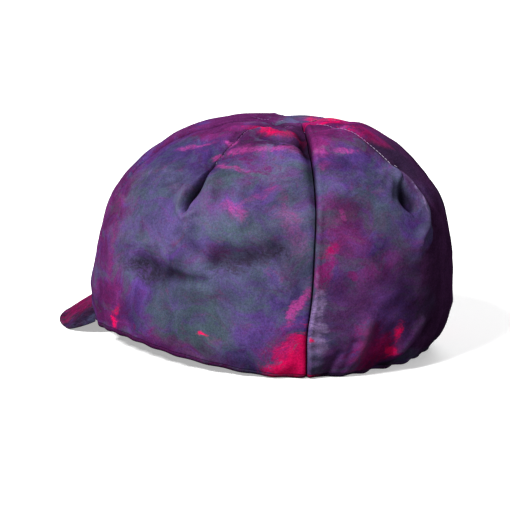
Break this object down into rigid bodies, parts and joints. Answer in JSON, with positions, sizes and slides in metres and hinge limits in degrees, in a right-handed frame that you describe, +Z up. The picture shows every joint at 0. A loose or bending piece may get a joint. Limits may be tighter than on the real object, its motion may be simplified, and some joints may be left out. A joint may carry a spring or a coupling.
{
  "type": "cycling cap",
  "caption": "Soft round cloth cap with a short drooping peak, darted panels and an elasticated hem, worn for cycling, sport and sun.",
  "frame": {"origin": "middle of the cap's footprint, on the surface that it stands on", "axes": "+Z up, -Y the way the peak points, +X to the wearer's left"},
  "size_m": [0.1792, 0.2528, 0.1275],
  "materials": {
    "crown_cloth": "matt printed cotton, clouded indigo, violet, grey-green and crimson",
    "hem_cloth": "matt printed cotton, turned under and gathered",
    "peak_cloth": "matt printed cotton, sewn double"
  },
  "bodies": {
    "root": {"crown_front": "crown_cloth", "crown_left": "crown_cloth", "crown_back": "crown_cloth", "crown_right": "crown_cloth", "hem_band": "hem_cloth", "peak": "peak_cloth"}
  },
  "joints": []
}
